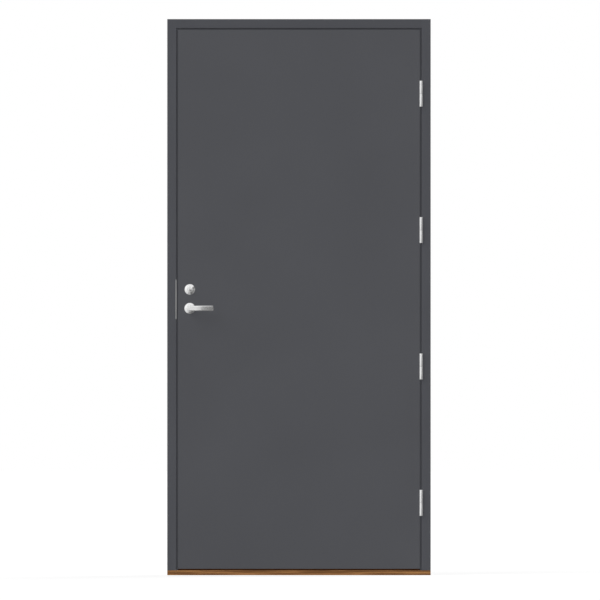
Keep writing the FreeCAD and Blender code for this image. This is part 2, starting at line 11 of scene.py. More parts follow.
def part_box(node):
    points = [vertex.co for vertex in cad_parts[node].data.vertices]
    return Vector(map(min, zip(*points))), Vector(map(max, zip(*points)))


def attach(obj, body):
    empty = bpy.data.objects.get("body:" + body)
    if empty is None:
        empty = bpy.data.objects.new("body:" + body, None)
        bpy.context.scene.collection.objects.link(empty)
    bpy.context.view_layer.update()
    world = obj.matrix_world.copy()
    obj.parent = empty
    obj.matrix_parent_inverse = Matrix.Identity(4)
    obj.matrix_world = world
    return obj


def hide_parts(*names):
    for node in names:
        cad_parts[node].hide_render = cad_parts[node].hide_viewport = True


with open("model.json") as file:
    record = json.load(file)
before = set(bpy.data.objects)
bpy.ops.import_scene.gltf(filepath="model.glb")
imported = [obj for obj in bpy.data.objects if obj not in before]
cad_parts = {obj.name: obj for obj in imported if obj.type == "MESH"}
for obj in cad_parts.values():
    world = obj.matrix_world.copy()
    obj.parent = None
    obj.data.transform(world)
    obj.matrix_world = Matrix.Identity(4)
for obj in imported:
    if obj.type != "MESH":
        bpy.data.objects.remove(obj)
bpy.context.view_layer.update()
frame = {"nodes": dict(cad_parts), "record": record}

bl_info = {
    "name": "Storage Door",
    "version": (1, 0, 0),
    "blender": (4, 5, 0),
    "location": "View3D > Sidebar > Door",
    "description": "Paints, fits out and lights a flush storage door in its frame",
    "category": "Object",
}

# Places on the door, read from the frame. Metres, +Z up, -Y outside, +X the hinge side.

leaf_low, leaf_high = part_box("outer_face_sheet")
inner_low, inner_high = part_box("inner_face_sheet")
rose_low, rose_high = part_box("outer_handle_rose")
ring_low, ring_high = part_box("cylinder_ring")
lever_low, lever_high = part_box("outer_lever")
rebate_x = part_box("frame_head")[1].x
ground_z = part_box("oak_threshold")[0].z
front_y = leaf_low.y
back_y = inner_high.y
lock_x = (rose_low.x + rose_high.x) / 2
handle_z = (rose_low.z + rose_high.z) / 2
cylinder_z = (ring_low.z + ring_high.z) / 2

MM = 0.001
WHITE = (1, 1, 1, 1)


# Sizes and finishes that can be changed. These are the limits of a colour and of a share.

COLOUR = {"subtype": "COLOR", "min": 0.0, "max": 1.0}
SHARE = {"subtype": "FACTOR", "min": 0.0, "max": 1.0}


class PaintSettings(PropertyGroup):
    """The dark grey paint on the leaf and its frame."""

    leaf_colour: FloatVectorProperty(
        name="Leaf colour", description="Colour of the paint on the leaf",
        default=(0.0679, 0.0696, 0.0767), **COLOUR)
    frame_colour: FloatVectorProperty(
        name="Frame colour", description="Colour of the paint on the jambs and the head",
        default=(0.0642, 0.0662, 0.0742), **COLOUR)
    tone_change: FloatProperty(
        name="Tone change", description="How much the colour differs from place to place",
        default=0.037, **SHARE)
    gloss: FloatProperty(
        name="Roughness", description="Roughness of the dry paint", default=0.5, **SHARE)
    stipple: FloatProperty(
        name="Stipple width", description="Width of the small bumps from the paint roller",
        unit="LENGTH", min=0.2 * MM, max=10 * MM, default=1.4 * MM)
    stipple_height: FloatProperty(
        name="Stipple height", description="Height of the small bumps in the paint",
        unit="LENGTH", min=0.0, max=1 * MM, default=0.03 * MM)


class OakSettings(PropertyGroup):
    """The oiled oak of the threshold."""

    pale_grain: FloatVectorProperty(
        name="Pale grain", description="Colour of the spring wood",
        default=(0.295, 0.147, 0.054), **COLOUR)
    dark_grain: FloatVectorProperty(
        name="Dark grain", description="Colour of the summer wood",
        default=(0.100, 0.045, 0.015), **COLOUR)
    pore: FloatVectorProperty(
        name="Pore", description="Colour of the open pores",
        default=(0.055, 0.024, 0.010), **COLOUR)
    streak_length: FloatProperty(
        name="Streak length", description="Length of a streak of grain",
        unit="LENGTH", min=10 * MM, default=270 * MM)
    streak_width: FloatProperty(
        name="Streak width", description="Width of a streak of grain",
        unit="LENGTH", min=1 * MM, default=5.8 * MM)


class MetalSettings(PropertyGroup):
    """The finishes of the lever handles, the lock and the hinges."""

    handle_colour: FloatVectorProperty(
        name="Handle colour", description="Colour of the satin nickel on levers and roses",
        default=(0.855, 0.857, 0.855), **COLOUR)
    handle_roughness: FloatProperty(
        name="Handle roughness", description="Roughness of the satin nickel", default=0.26, **SHARE)
    hinge_colour: FloatVectorProperty(
        name="Hinge colour", description="Colour of the zinc on the hinges",
        default=(0.84, 0.84, 0.84), **COLOUR)
    hinge_roughness: FloatProperty(
        name="Hinge roughness", description="Roughness of the zinc", default=0.30, **SHARE)
    plate_colour: FloatVectorProperty(
        name="Plate colour", description="Colour of the lock's plates and bolts",
        default=(0.41, 0.41, 0.405), **COLOUR)
    plate_roughness: FloatProperty(
        name="Plate roughness", description="Roughness of the plates", default=0.36, **SHARE)


class LeverSettings(PropertyGroup):
    """The shape of a lever handle between the ends that the frame gives."""

    straight: FloatProperty(
        name="Straight part", description="Length from the spindle's centre to the bend",
        unit="LENGTH", default=26.0 * MM)
    bend_run: FloatProperty(
        name="Bend", description="Length of the bend", unit="LENGTH", default=20.0 * MM)
    bend_angle: FloatProperty(
        name="Angle after the bend", description="Angle towards the leaf where the bend ends",
        subtype="ANGLE", default=math.radians(16.0))
    tip_angle: FloatProperty(
        name="Angle at the tip", description="Angle towards the leaf at the tip",
        subtype="ANGLE", default=math.radians(23.0))
    thickness: FloatProperty(
        name="Thickness", description="Thickness over the neck", unit="LENGTH", default=11.0 * MM)
    tip_thickness: FloatProperty(
        name="Tip thickness", description="Thickness at the tip", unit="LENGTH", default=8.5 * MM)
    tip_rounding: FloatProperty(
        name="Tip rounding", description="Radius of the tip's corners",
        unit="LENGTH", default=4.0 * MM)
    neck_radius: FloatProperty(
        name="Neck radius", description="Radius of the round neck", unit="LENGTH", default=8.0 * MM)


class HingeSettings(PropertyGroup):
    """The sizes of a hinge that its box in the frame doesn't give."""

    plate_thickness: FloatProperty(
        name="Plate thickness", description="Thickness of a hinge's flat plate",
        unit="LENGTH", default=2.5 * MM)
    plate_corner: FloatProperty(
        name="Plate corner", description="Radius of the plate's inner corners",
        unit="LENGTH", default=8.0 * MM)
    end_wall: FloatProperty(
        name="End wall", description="Thickness of a knuckle's closed end",
        unit="LENGTH", default=4.0 * MM)
    bore_radius: FloatProperty(
        name="Bore radius", description="Radius of the hole for the pin",
        unit="LENGTH", default=4.05 * MM)
    screw_radius: FloatProperty(
        name="Screw head radius", description="Radius of a countersunk screw's head",
        unit="LENGTH", default=4.0 * MM)
    screws: IntProperty(
        name="Screws", description="Number of screws in each plate", min=2, max=8, default=4)


class StudioSettings(PropertyGroup):
    """The camera, the lamps and the floor."""

    camera_distance: FloatProperty(
        name="Camera distance", description="Distance from the door's face to the camera",
        unit="LENGTH", default=75.0)
    view_width: FloatProperty(
        name="View width", description="Width of what the camera sees at the door's face",
        unit="LENGTH", default=2.2549)
    view_centre: FloatVectorProperty(
        name="View centre", description="Place of the picture's centre across and up",
        unit="LENGTH", size=2, default=(3.9 * MM, 1.0343))
    front_light: FloatProperty(
        name="Front light", description="Share of full light that falls straight on a face",
        default=0.72, **SHARE)
    side_light: FloatProperty(
        name="Side light", description="Share of full light from the upper left",
        default=0.35, **SHARE)
    sky_light: FloatProperty(
        name="Light from all round", description="Share of full light from everywhere",
        default=0.14, **SHARE)
    floor_shade: FloatProperty(
        name="Floor shade", description="How pale the floor's paint is", default=0.45, **SHARE)
    floor_glow: FloatProperty(
        name="Floor glow", description="What the camera sees besides the lamps' light",
        default=0.80, **SHARE)
    floor_reach: FloatProperty(
        name="Floor reach", description="Length of the floor's sides", unit="LENGTH", default=90.0)


# Making meshes


def arc(x, y, radius, start, end, steps):
    """Points on a round arc about (x, y), from one angle to another."""
    turns = [start + (end - start) * step / steps for step in range(steps + 1)]
    return [(x + radius * math.cos(turn), y + radius * math.sin(turn)) for turn in turns]


def rounded(corners, steps=6):
    """The points of a closed line of (a, b, radius) corners, each corner turned by a short arc."""
    points = []
    before = corners[-1:] + corners[:-1]
    after = corners[1:] + corners[:1]
    for (a0, b0, _), (a, b, radius), (a1, b1, _) in zip(before, corners, after):
        corner = Vector((a, b))
        if radius <= 0:
            points.append(corner)
            continue
        into = (Vector((a0, b0)) - corner).normalized()
        out = (Vector((a1, b1)) - corner).normalized()
        half = into.angle(out) / 2
        centre = corner + (into + out).normalized() * radius / math.sin(half)
        spoke = corner + into * radius / math.tan(half) - centre
        turn = math.pi - 2 * half
        side = -math.copysign(1, into.x * out.y - into.y * out.x)
        for step in range(steps + 1):
            points.append(centre + Matrix.Rotation(side * turn * step / steps, 2) @ spoke)
    return points


def lathe(profile, segments=96):
    """A closed solid turned about +Z from a closed line of (radius, height) points."""
    solid = bmesh.new()
    rings = []
    for n in range(segments):
        turn = 2 * math.pi * n / segments
        across, along = math.cos(turn), math.sin(turn)
        rings.append([solid.verts.new((r * across, r * along, z)) for r, z in profile])
    for n, ring in enumerate(rings):
        following = rings[(n + 1) % segments]
        for k in range(len(profile)):
            j = (k + 1) % len(profile)
            solid.faces.new((ring[k], following[k], following[j], ring[j]))
    bmesh.ops.remove_doubles(solid, verts=solid.verts, dist=0.001 * MM)
    bmesh.ops.recalc_face_normals(solid, faces=solid.faces)
    return solid


def band(solid, row, following):
    """The faces between two closed rows of the same number of points."""
    for n in range(len(row)):
        j = (n + 1) % len(row)
        solid.faces.new((row[n], row[j], following[j], following[n]))


def prism(points, low, high):
    """A closed solid with a flat outline of (x, y) points between two heights."""
    solid = bmesh.new()
    rows = [[solid.verts.new((x, y, height)) for x, y in points] for height in (low, high)]
    for row in rows:
        solid.faces.new(row)
    band(solid, *rows)
    bmesh.ops.recalc_face_normals(solid, faces=solid.faces)
    return solid


def stacked(loops, rungs=False):
    """A closed skin over a stack of loops, each end closed by one face or by rungs.

    For rungs the loops are mirror images about y = 0 that start and turn back on that line."""
    solid = bmesh.new()
    rows = [[solid.verts.new(point) for point in loop] for loop in loops]
    count = len(loops[0])
    for row, following in zip(rows, rows[1:]):
        band(solid, row, following)
    for row in (rows[0], rows[-1]):
        if not rungs:
            solid.faces.new(row)
            continue
        for n in range(count // 2):
            corners = [row[n], row[n + 1], row[(-n - 1) % count], row[-n % count]]
            solid.faces.new(list(dict.fromkeys(corners)))
    bmesh.ops.recalc_face_normals(solid, faces=solid.faces)
    return solid


def moved(solid, matrix):
    """The same solid at its seat."""
    solid.transform(matrix)
    if matrix.determinant() < 0:
        bmesh.ops.reverse_faces(solid, faces=solid.faces)
    return solid


def as_object(solid, name):
    """A scene object from a mesh being built."""
    mesh = bpy.data.meshes.new(name)
    solid.to_mesh(mesh)
    solid.free()
    piece = bpy.data.objects.new(name, mesh)
    bpy.context.scene.collection.objects.link(piece)
    return piece


def carved(base, tool, operation="DIFFERENCE"):
    """The first solid cut by the second, or joined with it."""
    whole = as_object(base, "carved_base")
    other = as_object(tool, "carved_tool")
    change = whole.modifiers.new("carve", "BOOLEAN")
    change.operation = operation
    change.solver = "EXACT"
    change.object = other
    bpy.context.view_layer.update()
    shape = whole.evaluated_get(bpy.context.evaluated_depsgraph_get()).to_mesh()
    result = bmesh.new()
    result.from_mesh(shape)
    for item in (whole, other):
        mesh = item.data
        bpy.data.objects.remove(item)
        bpy.data.meshes.remove(mesh)
    return result


def gathered(solids):
    """Several solids in one mesh."""
    whole = bmesh.new()
    for solid in solids:
        mesh = bpy.data.meshes.new("gathered")
        solid.to_mesh(mesh)
        solid.free()
        whole.from_mesh(mesh)
        bpy.data.meshes.remove(mesh)
    return whole


def fitted(solid, name, body, material, replaced=(), crease=32):
    """A named piece that rides on its body. Edges that bend by over crease degrees stay crisp."""
    piece = as_object(solid, name)
    mesh = piece.data
    mesh.materials.append(material)
    mesh.shade_smooth()
    mesh.set_sharp_from_angle(angle=math.radians(crease))
    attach(piece, body)
    if replaced:
        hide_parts(*replaced)


def leaf_seat(y, height):
    """From a piece made with +Z outwards to its place on the leaf's outer or inner face."""
    turn = math.pi / 2 if y == front_y else -math.pi / 2
    return Matrix.Translation((lock_x, y, height)) @ Matrix.Rotation(turn, 4, "X")


def wall_seat(place, side):
    """From a piece made with +Z outwards to a place whose face looks along -X or +X."""
    return Matrix.Translation(place) @ Matrix.Rotation(side * math.pi / 2, 4, "Y")


# Materials


class Nodes:
    """A tree of nodes, with a short way to add and join them."""

    def __init__(self, tree):
        self.tree = tree

    def fill(self, socket, value):
        """Joins a socket to another node's output, or sets it to a fixed value."""
        if isinstance(value, bpy.types.NodeSocket):
            self.tree.links.new(value, socket)
        else:
            socket.default_value = value

    def add(self, kind, sockets=None, **values):
        """A new node of this kind, with its own values and what goes into its sockets."""
        node = self.tree.nodes.new("ShaderNode" + kind)
        for key, value in values.items():
            setattr(node, key, value)
        for key, value in (sockets or {}).items():
            self.fill(node.inputs[key], value)
        return node

    def ramp(self, factor, stops):
        """A colour for each level of the factor."""
        node = self.add("ValToRGB", {"Fac": factor})
        elements = node.color_ramp.elements
        while len(elements) < len(stops):
            elements.new(0.5)
        for element, (position, colour) in zip(elements, stops):
            element.position = position
            element.color = colour
        return node.outputs["Color"]

    def spread(self, factor, start, end, low, high):
        """A number that goes from low to high while the factor goes from start to end."""
        limits = {"From Min": start, "From Max": end, "To Min": low, "To Max": high}
        return self.add("MapRange", {"Value": factor, **limits})

    def blended(self, factor, first, second, kind="MIX"):
        """The first colour with the second mixed in by the factor."""
        sockets = {0: factor, 6: first, 7: second}
        return self.add("Mix", sockets, data_type="RGBA", blend_type=kind).outputs[2]

    def chosen(self, factor, first, second):
        """The first shader where the factor is 0, and the second where it is 1."""
        return self.add("MixShader", {0: factor, 1: first, 2: second}).outputs[0]

    def rays(self):
        """Whether a ray comes from the camera or through glass, and whether it is glossy."""
        path = self.add("LightPath").outputs
        sockets = {0: path["Is Camera Ray"], 1: path["Is Transmission Ray"]}
        return self.add("Math", sockets, operation="MAXIMUM").outputs[0], path["Is Glossy Ray"]


class Finish(Nodes):
    """A material's nodes. A noise lies mostly between the levels low and high."""

    low = 0.3
    high = 0.7

    def __init__(self, name):
        self.material = bpy.data.materials.new(name)
        self.material.use_nodes = True
        super().__init__(self.material.node_tree)
        self.shader = self.tree.nodes["Principled BSDF"]
        self.place = self.add("TexCoord").outputs["Object"]

    def scaled(self, *scale):
        """The place on the piece, stretched by a scale for each direction."""
        return self.add("Mapping", {"Vector": self.place, "Scale": scale}).outputs["Vector"]

    def noise(self, place, **sockets):
        """Noise at a place. The node's Scale, Detail, Roughness and Distortion can be given."""
        return self.add("TexNoise", {"Vector": place, "Scale": 1.0, **sockets}).outputs["Fac"]

    def tones(self, noise, first, second):
        """A colour that follows the noise from the first to the second."""
        return self.ramp(noise, [(self.low, first), (self.high, second)])

    def between(self, noise, first, second):
        """A number that follows the noise from the first to the second."""
        return self.spread(noise, self.low, self.high, first, second).outputs["Result"]

    def bump(self, height, distance, under=None):
        """Small relief of this height in metres, over any relief that is given."""
        sockets = {"Height": height, "Distance": distance, "Strength": 1.0}
        if under:
            sockets["Normal"] = under
        return self.add("Bump", sockets).outputs["Normal"]

    def finish(self, **sockets):
        """Sets the shader's sockets, each by a fixed value or by another node."""
        for key, value in sockets.items():
            self.fill(self.shader.inputs[key.replace("_", " ")], value)
        return self.material


def shade(colour, share):
    """The same colour, darker or lighter."""
    return tuple(min(1.0, c * share) for c in colour[:3]) + (1.0,)


def paint(name, colour, settings, stretch=(1, 1, 1)):
    """Satin paint with a roller's stipple and a slight change of tone."""
    made = Finish(name)
    cloud = made.noise(made.scaled(*stretch), Scale=3.0, Detail=4.0)
    speck = made.noise(made.place, Scale=1 / (3 * settings.stipple))
    stipple = made.noise(made.place, Scale=1 / settings.stipple, Detail=1.5)
    wave = made.noise(made.place, Scale=12.0, Detail=1.0)
    change = settings.tone_change
    tone = made.tones(cloud, shade(colour, 1 - change), shade(colour, 1 + change))
    grain = made.tones(speck, shade(WHITE, 0.97), WHITE)
    return made.finish(
        Base_Color=made.blended(1.0, tone, grain, "MULTIPLY"),
        Roughness=made.between(wave, settings.gloss - 0.04, settings.gloss + 0.04),
        Specular_IOR_Level=0.15,
        Normal=made.bump(stipple, settings.stipple_height),
    )


def oak(settings):
    """Oiled oak with its grain along the threshold."""
    made = Finish("oiled_oak_grain")
    length = 1 / settings.streak_length
    width = 1 / settings.streak_width
    wide = made.scaled(length, width * 0.45, width)
    thin = made.scaled(length * 4, width * 7, width * 7)
    dots = made.scaled(length * 15, width * 13, width * 13)
    streak = made.noise(wide, Detail=4.0, Roughness=0.58, Distortion=0.10)
    fine = made.noise(thin, Detail=3.0, Roughness=0.6)
    pores = made.noise(dots, Detail=1.0)
    summer = settings.dark_grain
    spring = settings.pale_grain
    stops = [(0.34, shade(summer, 1)), (0.46, shade(summer, 1.7))]
    stops += [(0.56, shade(spring, 1)), (0.68, shade(spring, 1.25))]
    wood = made.ramp(streak, stops)
    threads = made.ramp(fine, [(0.35, (0.74, 0.70, 0.66, 1)), (0.62, WHITE)])
    open_pores = made.ramp(pores, [(0.27, shade(settings.pore, 1)), (0.36, WHITE)])
    coloured = made.blended(0.85, wood, threads, "MULTIPLY")
    return made.finish(
        Base_Color=made.blended(0.55, coloured, open_pores, "MULTIPLY"),
        Roughness=made.between(fine, 0.62, 0.46),
        Specular_IOR_Level=0.3,
        Normal=made.bump(pores, 0.12 * MM, under=made.bump(fine, 0.06 * MM)),
    )


def brushed(name, colour, roughness, brush, metallic=0.8):
    """Metal with a satin brush along one direction, given as a scale for each direction."""
    made = Finish(name)
    lines = made.noise(made.scaled(*brush), Detail=3.0, Roughness=0.6)
    cloud = made.noise(made.place, Scale=60.0, Detail=3.0)
    tone = made.tones(cloud, shade(colour, 0.985), shade(colour, 1.01))
    fleck = made.tones(lines, shade(WHITE, 0.96), WHITE)
    return made.finish(
        Base_Color=made.blended(1.0, tone, fleck, "MULTIPLY"),
        Metallic=metallic,
        Roughness=made.between(lines, roughness - 0.04, roughness + 0.05),
        Normal=made.bump(lines, 0.004 * MM),
    )


def nickel(name="satin_nickel", share=1.0, roughness=None, brush=(120, 1800, 1800)):
    """Satin nickel as on the levers, or darker or lighter by a share, which paints shade or
    highlight. Each name is made once.
    """
    metals = bpy.context.scene.door_metals
    roughness = roughness or metals.handle_roughness
    known = bpy.data.materials.get(name)
    return known or brushed(name, shade(metals.handle_colour, share), roughness, brush, 0.9)


def rubber(name, dark, pale, roughness, specular):
    """Sealing rubber with a faint mould texture."""
    made = Finish(name)
    cloud = made.noise(made.scaled(1, 1, 1), Scale=90.0, Detail=3.0)
    pits = made.noise(made.place, Scale=2600.0, Detail=1.0)
    return made.finish(
        Base_Color=made.tones(cloud, dark, pale),
        Roughness=made.between(cloud, roughness, roughness + 0.14),
        Specular_IOR_Level=specular,
        Normal=made.bump(pits, 0.02 * MM),
    )


def keyway_shade_brass():
    """Brass in the keyway, coloured near black as painted shade in the keyway."""
    made = Finish("keyway_painted_shade_brass")
    shade_mottle = made.noise(made.place, Scale=900.0, Detail=3.0)
    return made.finish(
        Base_Color=made.tones(shade_mottle, (0.012, 0.010, 0.007, 1), (0.030, 0.024, 0.014, 1)),
        Roughness=made.between(shade_mottle, 0.6, 0.8),
        Specular_IOR_Level=0.2,
    )


def board():
    """Raw insulating board, hidden in the leaf."""
    made = Finish("raw_core_board")
    fibres = made.noise(made.place, Scale=420.0, Detail=5.0, Roughness=0.7)
    return made.finish(
        Base_Color=made.tones(fibres, (0.34, 0.23, 0.13, 1), (0.48, 0.35, 0.22, 1)),
        Roughness=made.between(fibres, 0.82, 0.95),
        Normal=made.bump(fibres, 0.2 * MM),
    )


def dress(material, *nodes):
    """Gives frame pieces their finish."""
    for name in nodes:
        mesh = frame["nodes"][name].data
        mesh.materials.clear()
        mesh.materials.append(material)


# The pieces


class DOOR_OT_paint_frame(Operator):
    """Paints the jambs and the head"""

    bl_idname = "storage_door.paint_frame"
    bl_label = "Paint the frame"

    def execute(self, context):
        settings = context.scene.door_paint
        upright = paint("jamb_paint", settings.frame_colour, settings, (5, 5, 1))
        # The head's paint is a copy of the jambs' paint, 4 % darker as painted shade.
        level = paint("head_paint_painted_shade", shade(settings.frame_colour, 0.96), settings, (1, 5, 5))
        dress(upright, "hinge_jamb", "lock_jamb")
        dress(level, "frame_head")
        return {"FINISHED"}


class DOOR_OT_oil_threshold(Operator):
    """Gives the threshold its oiled oak"""

    bl_idname = "storage_door.oil_threshold"
    bl_label = "Oil the threshold"

    def execute(self, context):
        dress(oak(context.scene.door_oak), "oak_threshold")
        return {"FINISHED"}


class DOOR_OT_fit_seals(Operator):
    """Gives the seals their rubber: black in the frame, dark brown in the oak"""

    bl_idname = "storage_door.fit_seals"
    bl_label = "Fit the seals"

    def execute(self, context):
        black = ((0.009, 0.009, 0.010, 1), (0.016, 0.016, 0.017, 1))
        # The brown rubber's near-black tone is the seal's own colour and also painted shade in the
        # joint under the leaf.
        brown = ((0.036, 0.011, 0.002, 1), (0.046, 0.015, 0.003, 1))
        upper = rubber("black_seal_rubber", *black, roughness=0.58, specular=0.35)
        lower = rubber("brown_seal_rubber_and_joint_shade", *brown, roughness=0.62, specular=0.2)
        dress(upper, "head_seal", "hinge_jamb_seal", "lock_jamb_seal")
        dress(lower, "threshold_seal")
        return {"FINISHED"}


class DOOR_OT_paint_leaf(Operator):
    """Paints the leaf's sheets and edges, and colours the board inside it"""

    bl_idname = "storage_door.paint_leaf"
    bl_label = "Paint the leaf"

    def execute(self, context):
        settings = context.scene.door_paint
        sheets = paint("leaf_paint", settings.leaf_colour, settings)
        # The edges' paint is a copy of the leaf's paint, 4 % darker as painted shade in the joints.
        edges = paint("leaf_edge_paint_painted_shade", shade(settings.leaf_colour, 0.96), settings, (4, 4, 1))
        dress(sheets, "outer_face_sheet", "inner_face_sheet")
        dress(edges, "hinge_stile", "lock_stile", "top_rail", "bottom_rail")
        dress(board(), "leaf_core")
        return {"FINISHED"}


def cross_screw(radius):
    """A countersunk screw head with a cross recess, its rim at height 0."""
    dome = radius * 0.07
    depth = radius * 0.6
    foot = radius * 0.55
    profile = [(0, dome), (radius * 0.6, dome * 0.75), (radius, 0), (foot, -depth), (0, -depth)]
    head = lathe(profile, 40)
    reach = radius * 0.55
    half = radius * 0.11
    bottom = -radius * 0.4
    across = [(-reach, -half), (reach, -half), (reach, half), (-reach, half)]
    for outline in (across, [(y, x) for x, y in across]):
        head = carved(head, prism(outline, bottom, radius))
    return head


def screw_set(radius, seats):
    """A cross-recessed screw at each seat."""
    return gathered([moved(cross_screw(radius), seat) for seat in seats])


def hinge_knuckle(radius, length, end_rim, settings):
    """A barrel with its closed end at height 0, bored from the other end."""
    bore = settings.bore_radius
    wall = settings.end_wall
    profile = [(0, 0, 0), (radius, 0, end_rim), (radius, length, 0.25 * MM)]
    profile += [(bore, length, 0.2 * MM), (bore, wall, 0), (0, wall, 0)]
    return lathe(rounded(profile), 72)


def hinge_half(node, seam_z, plate_x, side, settings):
    """One half of a hinge: its knuckle, neck and plate.

    side is the direction into the wood: 1 for the jamb's half, -1 for the leaf's."""
    low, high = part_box(node)
    radius = (high.x - low.x) / 2
    axis_x = (high.x + low.x) / 2
    axis_y = low.y + radius
    end_z, turn = (high.z, math.pi) if side < 0 else (low.z, 0)
    end_rim = 1.5 * MM
    neck_z = sorted((seam_z, end_z + side * end_rim))
    seat = Matrix.Translation((axis_x, axis_y, end_z)) @ Matrix.Rotation(turn, 4, "X")
    barrel = moved(hinge_knuckle(radius, abs(seam_z - end_z), end_rim, settings), seat)
    x0, x1 = sorted((plate_x, plate_x + settings.plate_thickness * side))
    y0 = axis_y + radius * 0.75
    y1 = front_y + MM
    neck = prism([(x0, y0), (x1, y0), (x1, y1), (x0, y1)], *neck_z)
    corner = settings.plate_corner
    edge = [(front_y, low.z, 0), (high.y, low.z, corner)]
    edge += [(high.y, high.z, corner), (front_y, high.z, 0)]
    standing = Matrix(((0, 0, 1, 0), (1, 0, 0, 0), (0, 1, 0, 0), (0, 0, 0, 1)))
    plate = moved(prism(rounded(edge), x0, x1), standing)
    return carved(carved(barrel, neck, "UNION"), plate, "UNION")


def hinge_screw_seats(node, plate_x, side, settings):
    """Where the screws sit on a hinge's plate, in a gentle zigzag."""
    low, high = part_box(node)
    margin = 0.6
    near, far = 0.36, 0.64
    pitch = (high.z - low.z) / (settings.screws - 1 + 2 * margin)
    seats = []
    for n in range(settings.screws):
        y = front_y + (high.y - front_y) * (near if n % 2 else far)
        seats.append(wall_seat((plate_x, y, low.z + (n + margin) * pitch), -side))
    return seats


def hinge_pin(node, x, y, middle):
    """The pin with the ring that the leaf's knuckle turns on."""
    low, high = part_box(node)
    half = (high.z - low.z) / 2
    pin_radius = 4.0 * MM
    ring_radius = (high.x - low.x) / 2
    ring_half = 0.95 * MM
    upper = [(ring_radius, ring_half, 0.25 * MM), (pin_radius, ring_half, 0)]
    upper += [(pin_radius, half, 0.8 * MM), (0, half, 0)]
    lower = [(radius, -height, rounding) for radius, height, rounding in reversed(upper)]
    return moved(lathe(rounded(lower + upper), 72), Matrix.Translation((x, y, middle)))


class DOOR_OT_hang_hinges(Operator):
    """Makes the four lift-off hinges with their pins and screws"""

    bl_idname = "storage_door.hang_hinges"
    bl_label = "Hang the hinges"

    def execute(self, context):
        settings = context.scene.door_hinges
        metals = context.scene.door_metals
        zinc = brushed("hinge_zinc", metals.hinge_colour, metals.hinge_roughness, (900, 900, 60))
        steel = brushed("screw_steel", shade(metals.hinge_colour, 0.8), 0.32, (400, 400, 400))
        half_seam = 1 * MM
        seats = {"frame": [], "leaf": []}
        for number in range(1, 5):
            low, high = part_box(f"frame_hinge_half_{number}")
            middle = (low.z + high.z) / 2
            for body, plate_x, side in (("frame", rebate_x, 1), ("leaf", leaf_high.x, -1)):
                node = f"{body}_hinge_half_{number}"
                barrel = hinge_half(node, middle - side * half_seam, plate_x, side, settings)
                name = f"{body}_hinge_barrel_{number}"
                fitted(barrel, name, body, zinc, [node])
                seats[body] += hinge_screw_seats(node, plate_x, side, settings)
            node = f"hinge_pin_{number}"
            pin = hinge_pin(node, (low.x + high.x) / 2, low.y + (high.x - low.x) / 2, middle)
            fitted(pin, f"hinge_pin_collar_{number}", "frame", steel, [node])
        for body in ("frame", "leaf"):
            screws = screw_set(settings.screw_radius, seats[body])
            fitted(screws, f"{body}_hinge_screws", body, steel)
        return {"FINISHED"}


class DOOR_OT_fit_lock(Operator):
    """Finishes the strike plate, faceplate and bolts, and makes their screws"""

    bl_idname = "storage_door.fit_lock"
    bl_label = "Fit the lock"

    def execute(self, context):
        metals = context.scene.door_metals
        grey = metals.plate_colour
        plate = brushed("brushed_plate", grey, metals.plate_roughness, (700, 700, 25))
        bolt = brushed("brushed_bolt", shade(grey, 1.1), 0.3, (40, 600, 600))
        dress(plate, "strike_plate", "lock_faceplate", "lock_case")
        dress(bolt, "latch_bolt", "dead_bolt", "lever_spindle")
        low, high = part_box("latch_bolt")
        middle_y = (low.y + high.y) / 2
        depth_share = (middle_y - front_y) / (back_y - front_y)
        edge_x = leaf_low.x + (inner_low.x - leaf_low.x) * depth_share
        strike_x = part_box("strike_plate")[1].x
        radius = 3.6 * MM
        inset = 9 * MM
        for node, x, side, name, body, slot in (
            ("strike_plate", strike_x, 1, "strike_plate_screws", "frame", "strike_steel"),
            ("lock_faceplate", edge_x, -1, "faceplate_screws", "leaf", "lock_steel"),
        ):
            low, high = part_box(node)
            seats = [wall_seat((x, middle_y, z), side) for z in (low.z + inset, high.z - inset)]
            fitted(screw_set(radius, seats), name, body, bolt)
        return {"FINISHED"}


def threaded_sleeve(radius):
    """A threaded sleeve's end with a six-sided socket and the screw's head in it."""
    depth = 24 * MM
    socket_radius = 5.0 * MM
    socket_depth = 9 * MM
    head_radius = 4.0 * MM
    head_depth = 8 * MM
    profile = [(0, 0, 0), (radius, 0, 0.5 * MM), (radius, -depth, 0), (0, -depth, 0)]
    socket = arc(0, 0, socket_radius, 0, 2 * math.pi, 6)[:-1]
    cup = carved(lathe(rounded(profile, steps=3), 48), prism(socket, -socket_depth, 2 * MM))
    screw = moved(cross_screw(head_radius), Matrix.Translation((0, 0, -head_depth)))
    return gathered([cup, screw])


class DOOR_OT_fix_frame(Operator):
    """Makes the sleeved screws that hold the jambs to the wall"""

    bl_idname = "storage_door.fix_frame"
    bl_label = "Fix the frame"

    def execute(self, context):
        grey = shade(context.scene.door_metals.hinge_colour, 0.75)
        zinc = brushed("sleeve_zinc", grey, 0.42, (300, 300, 300))
        play = 0.2 * MM
        sunk = 0.3 * MM
        sleeves = []
        for mount in frame["record"]["mounts"]:
            if mount["kind"] != "bolt_pattern":
                continue
            x, y, z = mount["pos_m"]
            reach = mount["dims"]["spacing_y_mm"] * MM / 2
            radius = mount["dims"]["hole_r_mm"] * MM - play
            side = math.copysign(1, x)
            for height in (z - reach, z + reach):
                seat = wall_seat((side * (rebate_x + sunk), y, height), -side)
                sleeves.append(moved(threaded_sleeve(radius), seat))
        fitted(gathered(sleeves), "frame_screw_sleeves", "frame", zinc)
        return {"FINISHED"}


def rose_cover(bore):
    """A round cover plate that slopes towards its rim."""
    radius = (rose_high.x - rose_low.x) / 2
    height = rose_high.y - rose_low.y
    slope_width = 8.0 * MM
    slope_height = 4.5 * MM
    profile = [(bore, 0, 0), (radius, 0, 0.3 * MM), (radius, height - slope_height, 1.0 * MM)]
    profile += [(radius - slope_width, height, 6.0 * MM), (bore, height, 0.3 * MM)]
    return lathe(rounded(profile, steps=8), 128)


